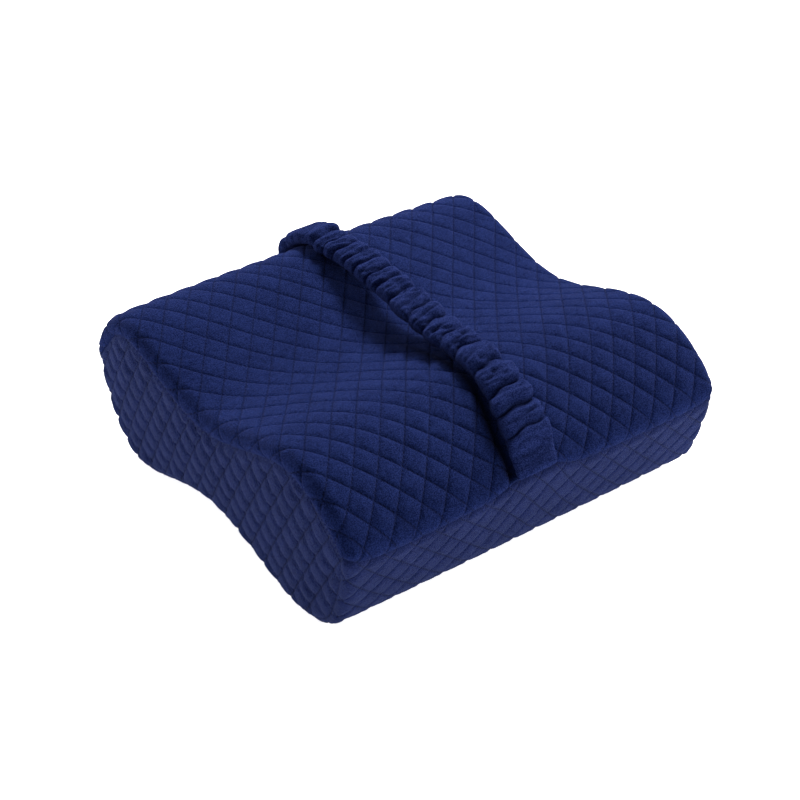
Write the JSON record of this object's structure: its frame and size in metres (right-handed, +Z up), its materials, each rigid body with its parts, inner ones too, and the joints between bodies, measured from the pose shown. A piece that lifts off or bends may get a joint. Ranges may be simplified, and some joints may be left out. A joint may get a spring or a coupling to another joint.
{
  "type": "knee pillow with a strap",
  "caption": "Contoured knee pillow in a diamond quilted velour cover, with a gathered elastic strap over its hollow.",
  "frame": {"origin": "on the floor, at the middle of the pillow with its strap", "axes": "+X runs along the hollow, +Y from the front lobe to the back lobe, +Z up"},
  "size_m": [0.2496, 0.2547, 0.1061],
  "materials": {
    "quilted_velour": "soft napped navy velour with stitched diamond quilting",
    "plain_velour": "soft napped navy velour gathered over elastic"
  },
  "bodies": {
    "root": {"pillow": "quilted_velour", "strap": "plain_velour"}
  },
  "joints": []
}
